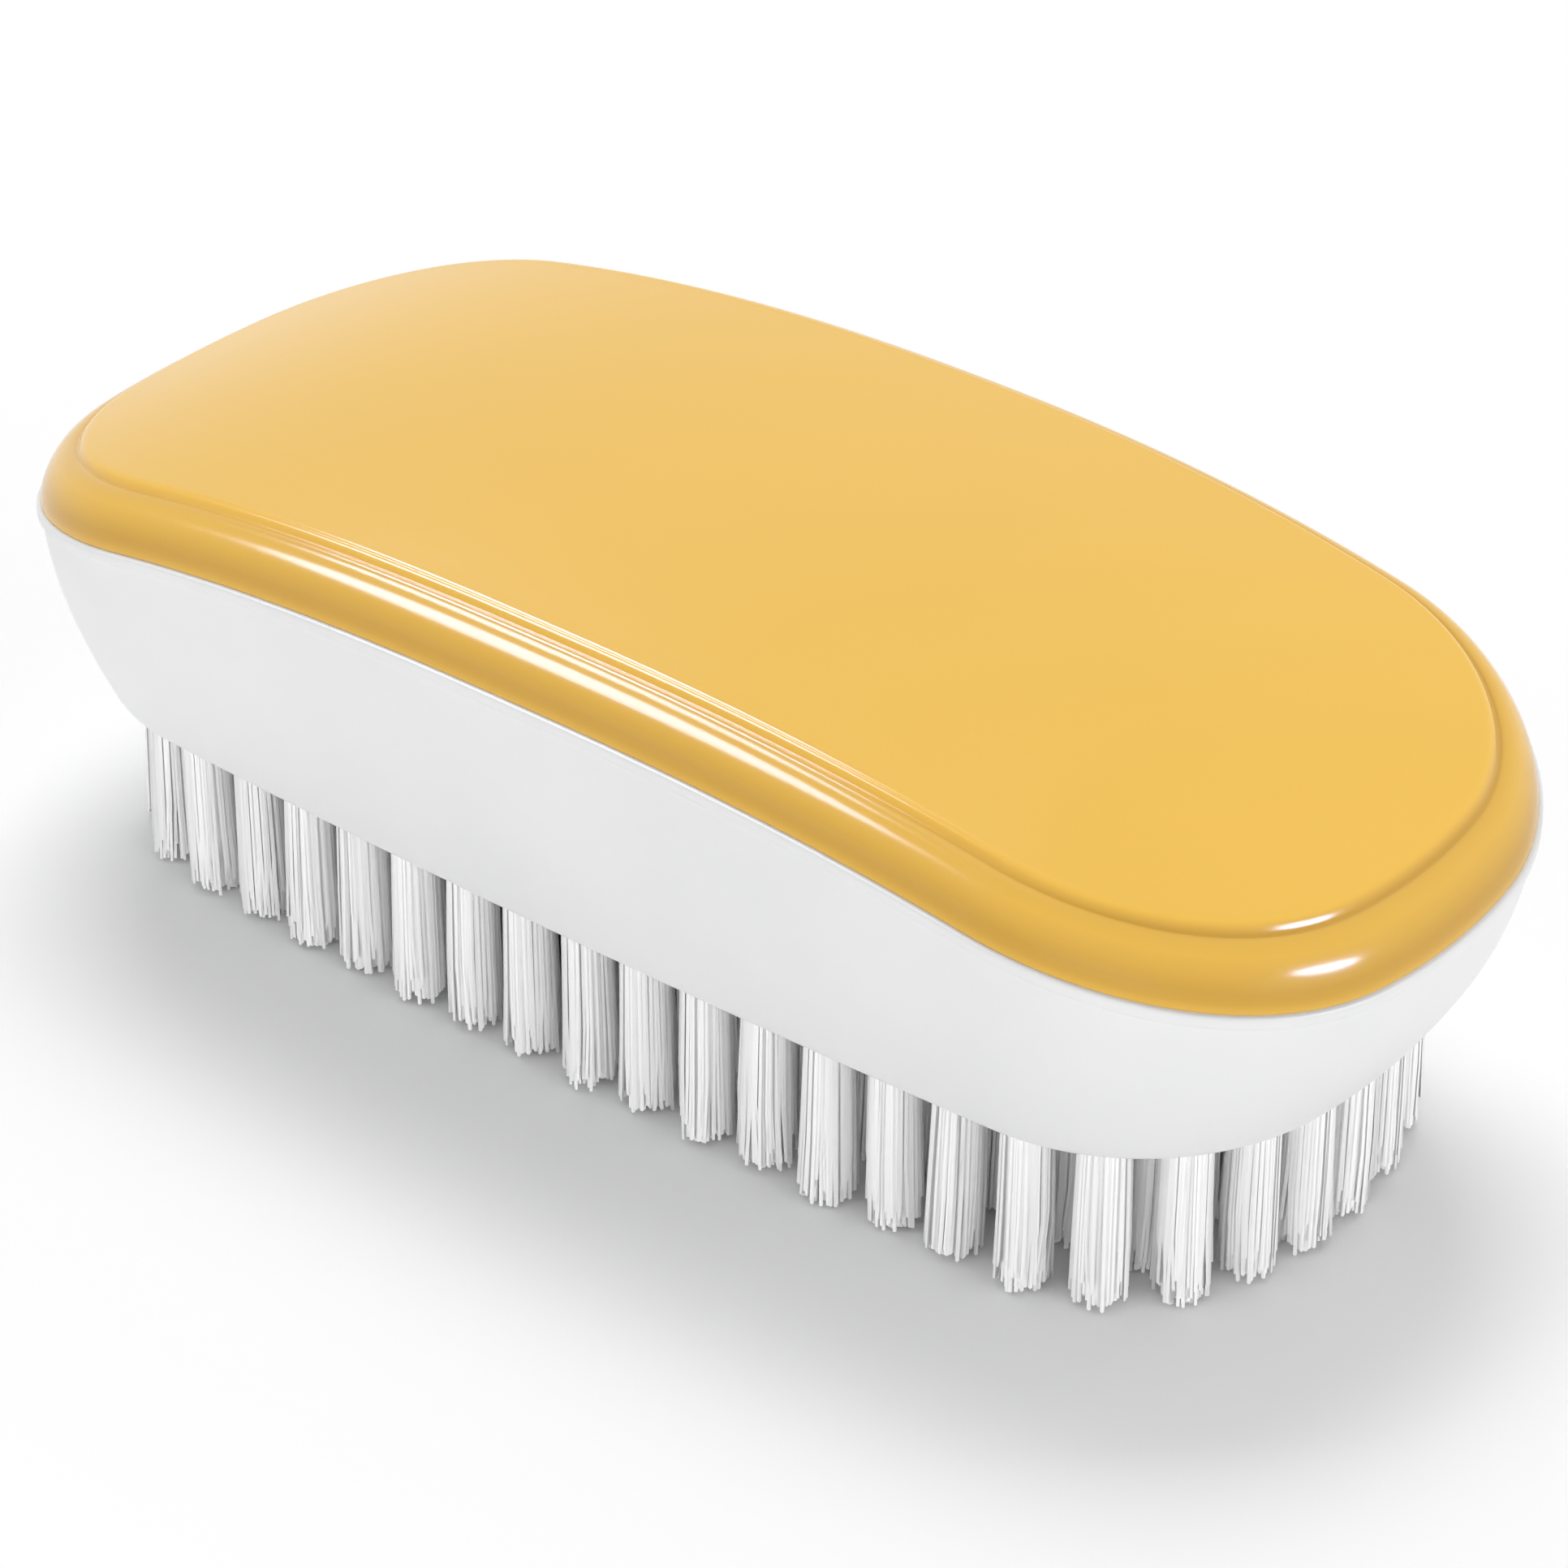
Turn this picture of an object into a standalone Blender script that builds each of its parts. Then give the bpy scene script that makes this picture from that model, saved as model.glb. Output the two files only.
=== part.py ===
"""Hand-held cleaning brush: a white body with a hooked-on yellow cover, over rows of bristle tufts.

Frame: X along the brush, Y across it, Z up. The origin is on the plane that the bristle tips stand on, under
the brush's centre. Run with: blender --background --python part.py
"""
import math

import bmesh
import bpy
import numpy as np

MM = 0.001

# Plan outline at the seam between cover and body: side, corner and end arcs that meet tangentially
HALF_LENGTH = 72.5 * MM
HALF_WIDTH = 32.85 * MM
SIDE_RADIUS = 1066 * MM
END_RADIUS = 64 * MM
CORNER_RADIUS = 26.4 * MM
CORNER_LIMIT_SHARE = 0.84
SIDE_STEPS = 8
CORNER_STEPS = 6
END_STEPS = 4

# Heights, from the bristle tips up: the foot edge, the tufted base, the floor and the arched seam over it
FOOT_HEIGHT = 17.4 * MM
SLICE_RECESS = 0.5 * MM
SLICE_THICKNESS = 6.0 * MM
FLOOR = 2.5 * MM
END_ROOM = 6.6 * MM
ARCH_RISE = 10.3 * MM
ARCH_POWER_SHARE = 2.35

# Body: a bowl-shaped wall from the seam down to a flat foot edge
SIDE_FLARE = 5.1 * MM
END_FLARE = 5.9 * MM
FLARE_POWER_SHARE = 1.85
WALL = 2.0 * MM
WALL_STEPS = 7
INSIDE_STEPS = 3
RIM_LIP = 0.4 * MM
RIM_LIP_HEIGHT = 0.9 * MM
RIM_BEAD = 1.4 * MM
RIM_BEAD_DEPTH = 3.5 * MM
FOOT_EDGE = 0.8 * MM
FOOT_WIDTH = 2.0 * MM
RIB = 1.6 * MM
RIB_HEIGHT = 5.0 * MM
RIB_PITCH = 22.0 * MM
RIBS_EACH_SIDE = 2

# Cover: a rounded edge band, a step and a raised, crowned panel, with a skirt and hooks underneath
BAND_INSET = 3.8 * MM
BAND_HEIGHT = 4.7 * MM
BAND_STEPS = 6
STEP_WIDTH = 1.1 * MM
STEP_HEIGHT = 0.8 * MM
STEP_SHARES = ((0.3, 0.12), (0.65, 0.82), (1.0, 1.0))
CROWN = 1.2 * MM
PANEL_SHARES = (0.2, 0.45, 0.72)
COVER_WALL = 2.2 * MM
SKIRT = 1.3 * MM
SKIRT_DEPTH = 2.4 * MM
HOOK_NOSE_HEIGHT = 1.3 * MM
HOOKS_A_SIDE = 3

# Tufted base: one bowed slice for each row of tufts, lying in the pocket under the floor
CLEARANCE = 0.3 * MM
SLICE_STEPS = 1
END_SLICE_STEPS = 6
EDGE_SAMPLES = 400
ROWS_EACH_SIDE = 9
END_GAP_SHARE = 1.25
TUFT_SPACING = 7.2 * MM
END_TUFT_SPACING = 5.8 * MM
TUFT_EDGE = 0.2 * MM
END_BOW_SHARE = 0.6

# Strands: square, packed round each tuft's axis with a corner inwards, with slanting tips cut flat at the floor
STRAND = 2.0 * MM
STRAND_TIP = 1.7 * MM
STRAND_GAP = 0.14 * MM
STRAND_LEAN = 0.12 * MM
STRAND_ROOT = 1.0 * MM
EDGE_STRANDS = 4
INNER_STRANDS = 3
TIP_SLANT = 1.8 * MM
TIP_RISE = 0.9 * MM
TIP_TRIM = 0.5 * MM
TIP_SHARES = (0.0, 0.5, 1.0, 0.5)
GOLDEN_SHARE = 0.618

SHARP_ANGLE = math.radians(35)
MERGE_DISTANCE = 0.003 * MM

SLICE_BOTTOM = FOOT_HEIGHT + SLICE_RECESS
SLICE_TOP = SLICE_BOTTOM + SLICE_THICKNESS
POCKET_TOP = SLICE_TOP + CLEARANCE
FLOOR_TOP = POCKET_TOP + FLOOR
SEAM_HEIGHT = FLOOR_TOP + END_ROOM + ARCH_RISE
TUFT_RADIUS = STRAND_GAP + STRAND


def clear_scene():
    for obj in list(bpy.data.objects):
        bpy.data.objects.remove(obj, do_unlink=True)


def plastic(name, color, roughness):
    material = bpy.data.materials.new(name)
    material.use_nodes = True
    shader = material.node_tree.nodes["Principled BSDF"]
    shader.inputs["Base Color"].default_value = (*color, 1.0)
    shader.inputs["Roughness"].default_value = roughness
    shader.inputs["Metallic"].default_value = 0.0
    return material


def arc(centre, radius, start, end, steps):
    """Points along an arc, without its last one."""
    angles = np.linspace(start, end, steps, endpoint=False)
    return [(centre[0] + radius * math.cos(a), centre[1] + radius * math.sin(a)) for a in angles]


def quarter_outline():
    """The outline from the middle of the +Y side to the middle of the +X end.

    The corner arc touches the side arc and the end arc from inside, so its centre lies at a known distance
    from both of theirs.
    """
    radius = min(CORNER_RADIUS, HALF_WIDTH * CORNER_LIMIT_SHARE)
    side_centre = (0.0, HALF_WIDTH - SIDE_RADIUS)
    end_centre = (HALF_LENGTH - END_RADIUS, 0.0)
    to_side = SIDE_RADIUS - radius
    to_end = END_RADIUS - radius
    span = math.dist(side_centre, end_centre)
    along = (to_side**2 - to_end**2 + span**2) / (2 * span)
    off = math.sqrt(to_side**2 - along**2)
    ux = (end_centre[0] - side_centre[0]) / span
    uy = (end_centre[1] - side_centre[1]) / span
    corner = (side_centre[0] + ux * along + uy * off, side_centre[1] + uy * along - ux * off)
    side_end = math.atan2(corner[1] - side_centre[1], corner[0] - side_centre[0])
    corner_end = math.atan2(corner[1] - end_centre[1], corner[0] - end_centre[0])
    points = arc(side_centre, SIDE_RADIUS, math.pi / 2, side_end, SIDE_STEPS)
    points += arc(corner, radius, side_end, corner_end, CORNER_STEPS)
    points += arc(end_centre, END_RADIUS, corner_end, 0.0, END_STEPS)
    points.append((HALF_LENGTH, 0.0))
    return points


def full_outline(quarter):
    """The closed outline, clockwise seen from above."""
    right_half = quarter + [(x, -y) for x, y in reversed(quarter[:-1])]
    left_half = [(-x, y) for x, y in reversed(right_half[1:-1])]
    return np.array(right_half + left_half)


def outward_normals(points):
    tangents = np.roll(points, -1, axis=0) - np.roll(points, 1, axis=0)
    normals = np.column_stack([-tangents[:, 1], tangents[:, 0]])
    return normals / np.linalg.norm(normals, axis=1)[:, None]


QUARTER = SIDE_STEPS + CORNER_STEPS + END_STEPS
OUTLINE = full_outline(quarter_outline())
NORMALS = outward_normals(OUTLINE)


def moved_in(inset):
    """The outline moved inwards, by one inset or by one for each of its points."""
    return OUTLINE - NORMALS * np.reshape(inset, (-1, 1))


def seam_height(x):
    return SEAM_HEIGHT - ARCH_RISE * np.abs(x / HALF_LENGTH) ** ARCH_POWER_SHARE


def seam_ring(inset, height):
    """A ring that follows the arched seam, at a height over it."""
    flat = moved_in(inset)
    return np.column_stack([flat, seam_height(flat[:, 0]) + height])


WALL_SPAN = seam_height(OUTLINE[:, 0]) - FOOT_HEIGHT


def flare_inset(depth_share):
    """How far the wall has drawn in at a share of the way from the seam down to the foot."""
    full = SIDE_FLARE * NORMALS[:, 1] ** 2 + END_FLARE * NORMALS[:, 0] ** 2
    return full * depth_share**FLARE_POWER_SHARE


def wall_ring(depth_share, inset):
    """A ring inside the body's outer surface, a share of the way from the seam down to the foot."""
    flat = moved_in(flare_inset(depth_share) + inset)
    return np.column_stack([flat, FOOT_HEIGHT + WALL_SPAN * (1 - depth_share)])


def foot_ring(inset, height):
    """A level ring inside the outline of the body's foot."""
    flat = moved_in(flare_inset(1.0) + inset)
    return np.column_stack([flat, np.full(len(flat), height)])


def skin_rings(bm, rings):
    """Joins each ring to the next one with quads and returns the rings' vertices."""
    loops = [[bm.verts.new(point) for point in ring] for ring in rings]
    for upper, lower in zip(loops, loops[1:]):
        for i, start in enumerate(upper):
            j = (i + 1) % len(upper)
            bm.faces.new((start, upper[j], lower[j], lower[i]))
    return loops


def add_object(name, bm, material):
    bmesh.ops.recalc_face_normals(bm, faces=bm.faces)
    mesh = bpy.data.meshes.new(name)
    bm.to_mesh(mesh)
    bm.free()
    mesh.materials.append(material)
    mesh.shade_smooth()
    mesh.set_sharp_from_angle(angle=SHARP_ANGLE)
    obj = bpy.data.objects.new(name, mesh)
    bpy.context.collection.objects.link(obj)
    return obj


def fuse(target, tool):
    """Unites the tool with the target and removes the tool."""
    union = target.modifiers.new("union", "BOOLEAN")
    union.operation = "UNION"
    union.solver = "EXACT"
    union.object = tool
    evaluated = target.evaluated_get(bpy.context.evaluated_depsgraph_get())
    mesh = bpy.data.meshes.new_from_object(evaluated)
    target.modifiers.remove(union)
    target.data = mesh
    bpy.data.objects.remove(tool, do_unlink=True)


# Cover

SKIRT_INSET = WALL + RIM_BEAD + CLEARANCE
UNDER_INSET = SKIRT_INSET + SKIRT
PANEL_INSET = BAND_INSET + STEP_WIDTH
PANEL_HEIGHT = BAND_HEIGHT + STEP_HEIGHT


def panel_ring(inset, height, share):
    """A ring of the crowned panel or its underside, from the edge at share 0 to the middle line at share 1."""
    edge = moved_in(inset)
    middle_share = 1 - HALF_WIDTH / HALF_LENGTH
    x = edge[:, 0] * (1 - share * (1 - middle_share))
    y = edge[:, 1] * (1 - share)
    return np.column_stack([x, y, seam_height(x) + height + CROWN * (1 - (1 - share) ** 2)])


def cover_rings():
    """From the middle of the top outwards, down the band, in under the seam and up inside."""
    top = [panel_ring(PANEL_INSET, PANEL_HEIGHT, share) for share in (1.0, *reversed(PANEL_SHARES))]
    step = [seam_ring(BAND_INSET + STEP_WIDTH * a, BAND_HEIGHT + STEP_HEIGHT * b) for a, b in STEP_SHARES]
    band = []
    for k in range(BAND_STEPS + 1):
        turn = math.pi / 2 * k / BAND_STEPS
        band.append(seam_ring(BAND_INSET * (1 - math.cos(turn)), BAND_HEIGHT * math.sin(turn)))
    skirt = [
        seam_ring(SKIRT_INSET, 0.0),
        seam_ring(SKIRT_INSET, -SKIRT_DEPTH),
        seam_ring(UNDER_INSET, -SKIRT_DEPTH),
    ]
    under = [panel_ring(UNDER_INSET, PANEL_HEIGHT - COVER_WALL, share) for share in (0.0, *PANEL_SHARES, 1.0)]
    return top + step[::-1] + band[::-1] + skirt + under


def hook_profile():
    """Rings of the hook's section, from the skirt's outer face round the nose to its inner face."""
    nose_top = RIM_BEAD_DEPTH + CLEARANCE
    nose_bottom = nose_top + HOOK_NOSE_HEIGHT
    nose_inset = WALL + CLEARANCE + flare_inset(nose_bottom / WALL_SPAN)
    nose_mid = (nose_top + nose_bottom) / 2
    return [
        seam_ring(SKIRT_INSET, -nose_top),
        seam_ring(nose_inset, -nose_top),
        seam_ring(nose_inset, -nose_mid),
        seam_ring(SKIRT_INSET, -nose_bottom),
        seam_ring(UNDER_INSET, -nose_bottom),
    ]


def hang_hook(bm, outer_loop, inner_loop, middle, profile):
    """Replaces two faces of the skirt's lower edge by a hook that hangs from their outlines."""
    places = [(middle + k) % len(outer_loop) for k in (-1, 0, 1)]
    sections = []
    for i in places:
        sections.append([outer_loop[i], *(bm.verts.new(ring[i]) for ring in profile), inner_loop[i]])
    for i, j in zip(places, places[1:]):
        corners = {outer_loop[i], outer_loop[j], inner_loop[i], inner_loop[j]}
        edge_face = next(f for f in outer_loop[i].link_faces if set(f.verts) == corners)
        bm.faces.remove(edge_face)
    for left, right in zip(sections, sections[1:]):
        for k in range(len(left) - 1):
            bm.faces.new((left[k], left[k + 1], right[k + 1], right[k]))
    bm.faces.new(sections[0])
    bm.faces.new(sections[-1])


def hook_places():
    """Places along the outline: some on each long side and one at the middle of each end."""
    reach = SIDE_STEPS - 1
    offsets = [round(reach * share) for share in np.linspace(-1, 1, HOOKS_A_SIDE)]
    sides = [middle + offset for middle in (0, 2 * QUARTER) for offset in offsets]
    return sides + [QUARTER, 3 * QUARTER]


def make_cover(material):
    bm = bmesh.new()
    loops = skin_rings(bm, cover_rings())
    skirt_outer = loops[-len(PANEL_SHARES) - 4]
    skirt_inner = loops[-len(PANEL_SHARES) - 3]
    profile = hook_profile()
    for middle in hook_places():
        hang_hook(bm, skirt_outer, skirt_inner, middle, profile)
    for middle_line in (loops[0], loops[-1]):
        bmesh.ops.remove_doubles(bm, verts=middle_line, dist=MERGE_DISTANCE)
    return add_object("top_cover", bm, material)


# Body


def body_rings():
    """From the floor up inside, over the rim, down the outside, round the foot and up into the pocket."""
    floor_share = (seam_height(OUTLINE[:, 0]) - FLOOR_TOP) / WALL_SPAN
    bead_share = RIM_BEAD_DEPTH / WALL_SPAN
    inside = []
    for k in range(INSIDE_STEPS):
        share = floor_share + (bead_share - floor_share) * k / INSIDE_STEPS
        inside.append(wall_ring(share, WALL))
    inside.append(seam_ring(WALL + flare_inset(bead_share), -RIM_BEAD_DEPTH))
    lip_bottom = CLEARANCE + RIM_LIP_HEIGHT
    rim = [
        seam_ring(WALL + RIM_BEAD, -RIM_BEAD_DEPTH),
        seam_ring(WALL + RIM_BEAD, -CLEARANCE),
        seam_ring(-RIM_LIP / 2, -CLEARANCE),
        seam_ring(-RIM_LIP, -CLEARANCE - RIM_LIP / 2),
        seam_ring(-RIM_LIP, -lip_bottom),
    ]
    first_share = (lip_bottom + RIM_LIP) / WALL_SPAN
    last_share = 1 - FOOT_EDGE / WALL_SPAN
    outside = []
    for k in range(WALL_STEPS + 1):
        share = first_share + (last_share - first_share) * k / WALL_STEPS
        outside.append(wall_ring(share, 0.0))
    corner = FOOT_EDGE * (1 - math.cos(math.pi / 4))
    foot = [
        foot_ring(corner, FOOT_HEIGHT + corner),
        foot_ring(FOOT_EDGE, FOOT_HEIGHT),
        foot_ring(FOOT_WIDTH, FOOT_HEIGHT),
        foot_ring(FOOT_WIDTH, POCKET_TOP),
    ]
    return inside + rim + outside + foot


def wall_half_width(x, height):
    """Half the body's width at a place along it, on the outer surface."""
    ring = wall_ring((seam_height(OUTLINE[:, 0]) - height) / WALL_SPAN, 0.0)
    return float(np.interp(x, ring[: QUARTER + 1, 0], ring[: QUARTER + 1, 1]))


def prism(section, direction, depth):
    """A closed solid from a flat section, carried along a direction."""
    bm = bmesh.new()
    near = [bm.verts.new(point) for point in section]
    far = [bm.verts.new([p + d * depth for p, d in zip(point, direction)]) for point in section]
    bm.faces.new(near)
    bm.faces.new(far)
    for i, start in enumerate(near):
        j = (i + 1) % len(near)
        bm.faces.new((start, near[j], far[j], far[i]))
    return bm


def rib_tools(material):
    """Cross ribs that die into the wall at both ends, and one rib along the middle."""
    low = FLOOR_TOP - FLOOR / 2
    high = FLOOR_TOP + RIB_HEIGHT
    tools = []
    for k in range(-RIBS_EACH_SIDE, RIBS_EACH_SIDE + 1):
        x = k * RIB_PITCH
        wide_low = wall_half_width(abs(x), low) - WALL / 2
        wide_high = wall_half_width(abs(x), high) - WALL / 2
        x -= RIB / 2
        section = [(x, -wide_low, low), (x, wide_low, low), (x, wide_high, high), (x, -wide_high, high)]
        tools.append(add_object(f"cross_rib_{k}", prism(section, (1, 0, 0), RIB), material))
    reach = RIBS_EACH_SIDE * RIB_PITCH
    middle_high = high - RIB / 2
    section = [(-reach, -RIB / 2, low), (-reach, RIB / 2, low), (-reach, RIB / 2, middle_high)]
    section.append((-reach, -RIB / 2, middle_high))
    tools.append(add_object("middle_rib", prism(section, (1, 0, 0), 2 * reach), material))
    return tools


def make_body(material):
    bm = bmesh.new()
    loops = skin_rings(bm, body_rings())
    bm.faces.new(loops[0])
    bm.faces.new(loops[-1])
    body = add_object("body_shell", bm, material)
    for tool in rib_tools(material):
        fuse(body, tool)
    return body


# Tufted base


POCKET = foot_ring(FOOT_WIDTH + CLEARANCE, 0.0)[: QUARTER + 1, :2]
TUFT_RING = foot_ring(FOOT_WIDTH + CLEARANCE + TUFT_EDGE + TUFT_RADIUS, 0.0)[: QUARTER + 1, :2]
RING_X, RING_Y = TUFT_RING.T
TUFT_PITCH = RING_X[-1] / (ROWS_EACH_SIDE - 1 + END_GAP_SHARE)


def row_end(row):
    """Where a row, at mid-length or on the +X side, ends on the outer ring of tufts, which has an even pitch.

    The last row ends nearer to the one before it than it lies at the brush's middle line.
    """
    if row == ROWS_EACH_SIDE:
        least = 2 * (TUFT_RADIUS + TUFT_EDGE) + CLEARANCE
        bowed = (RING_X[-1] - (row - 1) * TUFT_PITCH) * END_BOW_SHARE
        x = row_end(row - 1)[0] + max(least, bowed)
        return x, np.interp(x, RING_X, RING_Y)
    run = np.concatenate([[0.0], np.cumsum(np.hypot(np.diff(RING_X), np.diff(RING_Y)))])
    return np.interp(row * TUFT_PITCH, run, RING_X), np.interp(row * TUFT_PITCH, run, RING_Y)


def row_curve(row, y):
    """Where a row lies at a distance across: straight, but for the last row, which follows the brush's end."""
    end_x, end_y = row_end(abs(row))
    middle_x = RING_X[-1] if abs(row) == ROWS_EACH_SIDE else abs(row) * TUFT_PITCH
    across_share = np.minimum(np.abs(y) / end_y, 1.0)
    return np.sign(row) * (middle_x - (middle_x - end_x) * across_share**2)


def slice_edge(row, offset):
    """The edge midway between a row and the next one, from the pocket's +Y side to its -Y side."""
    across = np.linspace(0.0, HALF_WIDTH, EDGE_SAMPLES)
    along = (row_curve(row, across) + row_curve(row + 1, across)) / 2 + offset
    room = np.interp(np.abs(along), POCKET[:, 0], POCKET[:, 1]) - across
    end_y = np.interp(0.0, room[::-1], across[::-1])
    steps = END_SLICE_STEPS if row == ROWS_EACH_SIDE - 1 else SLICE_STEPS
    edge_y = np.linspace(end_y, -end_y, 2 * steps + 1)
    edge_x = np.interp(np.abs(edge_y), across, along)
    return list(zip(edge_x.tolist(), edge_y.tolist()))


def slice_outline(row):
    """The outline of a row's slice, for a row at mid-length or on the +X side."""
    near = slice_edge(row - 1, CLEARANCE / 2)
    far = slice_edge(row, -CLEARANCE / 2) if row < ROWS_EACH_SIDE else []
    first = near[0][0] + CLEARANCE
    last = far[0][0] - CLEARANCE if far else HALF_LENGTH
    shore = [(x, y) for x, y in POCKET.tolist() if first < x < last]
    other_shore = [(x, -y) for x, y in reversed(shore) if y > 0]
    return near[::-1] + shore + far + other_shore


def square(centre, outward, radius, low, high):
    """Corners of a square, the first one pointing inwards, with heights that rise outwards."""
    corners = []
    for k, rise_share in enumerate(TIP_SHARES):
        angle = outward + math.pi * (1 + k / 2)
        height = low + (high - low) * rise_share
        corners.append((centre[0] + radius * math.cos(angle), centre[1] + radius * math.sin(angle), height))
    return corners


def add_strand(bm, x, y, outward, tip_height):
    """A strand beside the tuft's axis, from its root inside the slice down to its slanting tip."""
    ux, uy = math.cos(outward), math.sin(outward)
    root_reach = STRAND / 2 + STRAND_GAP
    tip_reach = root_reach + STRAND_LEAN
    root = (x + root_reach * ux, y + root_reach * uy)
    tip = (x + tip_reach * ux, y + tip_reach * uy)
    root_height = SLICE_BOTTOM + STRAND_ROOT
    upper = [bm.verts.new(p) for p in square(root, outward, STRAND / 2, root_height, root_height)]
    lower = [bm.verts.new(p) for p in square(tip, outward, STRAND_TIP / 2, tip_height, tip_height + TIP_SLANT)]
    bm.faces.new(upper)
    bm.faces.new(lower)
    for i in range(len(upper)):
        j = (i + 1) % len(upper)
        bm.faces.new((upper[i], upper[j], lower[j], lower[i]))


def add_tuft(bm, x, y, count, turn):
    """Its first strand, and one opposite, reach past the floor to be cut flat there. The rest end above it."""
    for k in range(count):
        reaches_floor = k % 2 == 0 and k < count - 1
        tip_height = -TIP_TRIM if reaches_floor else TIP_RISE * ((turn + k * GOLDEN_SHARE) % 1.0)
        add_strand(bm, x, y, 2 * math.pi * (turn + k / count), tip_height)


def cut_flat_at_floor(bm):
    """Cuts off what reaches below the plane that the brush stands on."""
    geometry = bm.verts[:] + bm.edges[:] + bm.faces[:]
    bmesh.ops.bisect_plane(bm, geom=geometry, plane_co=(0, 0, 0), plane_no=(0, 0, -1), clear_outer=True)
    rims = [edge for edge in bm.edges if len(edge.link_faces) == 1]
    bmesh.ops.holes_fill(bm, edges=rims)


def make_row(row, material):
    """One slice of the base with its row of tufts fused to it."""
    side = -1 if row < 0 else 1
    section = [(side * x, y, SLICE_BOTTOM) for x, y in slice_outline(abs(row))]
    name = f"tuft_row_{row + ROWS_EACH_SIDE + 1:02d}"
    base = add_object(name, prism(section, (0, 0, 1), SLICE_THICKNESS), material)
    bm = bmesh.new()
    last_row = abs(row) == ROWS_EACH_SIDE
    _, end_y = row_end(abs(row))
    count = 1 + int(2 * end_y / END_TUFT_SPACING if last_row else 2 * RING_Y[0] / TUFT_SPACING)
    for k in range(count):
        y = end_y * (2 * k / (count - 1) - 1)
        at_edge = last_row or k in (0, count - 1)
        strands = EDGE_STRANDS if at_edge else INNER_STRANDS
        turn = (row * count + k) * GOLDEN_SHARE % 1.0
        add_tuft(bm, row_curve(row, y), y, strands, turn)
    cut_flat_at_floor(bm)
    fuse(base, add_object(f"{name}_strands", bm, material))


def main():
    clear_scene()
    yellow = plastic("cover_yellow", (0.86, 0.54, 0.15), 0.22)
    white = plastic("body_white", (0.80, 0.80, 0.80), 0.35)
    bristle = plastic("bristle_white", (0.78, 0.78, 0.77), 0.5)
    make_cover(yellow)
    make_body(white)
    for row in range(-ROWS_EACH_SIDE, ROWS_EACH_SIDE + 1):
        make_row(row, bristle)


main()
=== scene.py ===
import math
import random

import bmesh
import bpy
import numpy as np
from mathutils import Matrix, Vector
from mathutils.kdtree import KDTree


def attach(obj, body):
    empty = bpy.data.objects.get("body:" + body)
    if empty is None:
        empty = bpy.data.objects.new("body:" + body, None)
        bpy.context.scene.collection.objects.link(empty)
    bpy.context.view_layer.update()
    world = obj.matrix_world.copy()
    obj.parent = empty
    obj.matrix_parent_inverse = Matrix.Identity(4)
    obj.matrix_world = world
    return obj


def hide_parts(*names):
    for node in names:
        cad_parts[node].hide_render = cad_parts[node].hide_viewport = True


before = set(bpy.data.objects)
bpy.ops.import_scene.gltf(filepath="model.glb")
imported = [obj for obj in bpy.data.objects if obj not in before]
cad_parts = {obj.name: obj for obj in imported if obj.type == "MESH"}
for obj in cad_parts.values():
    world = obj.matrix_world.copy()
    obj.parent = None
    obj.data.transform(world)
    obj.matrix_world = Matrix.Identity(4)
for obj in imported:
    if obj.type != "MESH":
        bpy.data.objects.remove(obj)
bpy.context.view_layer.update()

mm = 0.001

# Body moulding. One white plastic shell under the cover, open at the top, with a bowl-shaped wall.
# A thin lip runs round it right under the cover, and a rounded foot edge surrounds the pocket that
# takes the tufted base.
half_length = 72.5 * mm
half_width = 32.85 * mm
side_radius = 1066 * mm
end_radius = 64 * mm
corner_radius = 26.4 * mm
side_points = 36
corner_points = 26
end_points = 14
foot_height = 17.4 * mm
end_seam_height = 33.3 * mm
arch_rise = 10.3 * mm
arch_power = 2.35
side_flare = 5.1 * mm
end_flare = 5.9 * mm
flare_power = 1.85
wall_depth = end_seam_height + arch_rise - foot_height
kept_edge = 2.2 * mm
lip = 0.4 * mm
foot_land = 2.0 * mm
pocket_ceiling = 24.2 * mm
inner_floor = 26.7 * mm
floor_to_mouth = (0.985, 0.97)
least_inset = 0.01 * mm
smooth_angle = 40


def arc_points(centre_x, centre_y, radius, start, end, count):
    turns = np.linspace(start, end, count, endpoint=False)
    return [(centre_x + radius * math.cos(t), centre_y + radius * math.sin(t)) for t in turns]


def brush_outline():
    """The outline at the seam: side, corner and end arcs that meet smoothly, clockwise from mid +Y."""
    side_y = half_width - side_radius
    end_x = half_length - end_radius
    to_side = side_radius - corner_radius
    to_end = end_radius - corner_radius
    span = math.hypot(end_x, side_y)
    along = (to_side**2 - to_end**2 + span**2) / (2 * span)
    off = math.sqrt(to_side**2 - along**2)
    ux, uy = end_x / span, -side_y / span
    corner_x = ux * along + uy * off
    corner_y = side_y + uy * along - ux * off
    side_turn = math.atan2(corner_y - side_y, corner_x)
    end_turn = math.atan2(corner_y, corner_x - end_x)
    quarter = arc_points(0, side_y, side_radius, math.pi / 2, side_turn, side_points)
    quarter += arc_points(corner_x, corner_y, corner_radius, side_turn, end_turn, corner_points)
    quarter += arc_points(end_x, 0, end_radius, end_turn, 0, end_points)
    half = quarter + [(half_length, 0.0)] + [(x, -y) for x, y in reversed(quarter)]
    return np.array(half + [(-x, y) for x, y in reversed(half[1:-1])])


outline = brush_outline()
tangents = np.roll(outline, -1, axis=0) - np.roll(outline, 1, axis=0)
outward = np.column_stack([-tangents[:, 1], tangents[:, 0]])
outward /= np.linalg.norm(outward, axis=1)[:, None]
quarter_count = side_points + corner_points + end_points
outline_tree = KDTree(len(outline))
for i, (x, y) in enumerate(outline):
    outline_tree.insert((x, y, 0), i)
outline_tree.balance()


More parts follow.
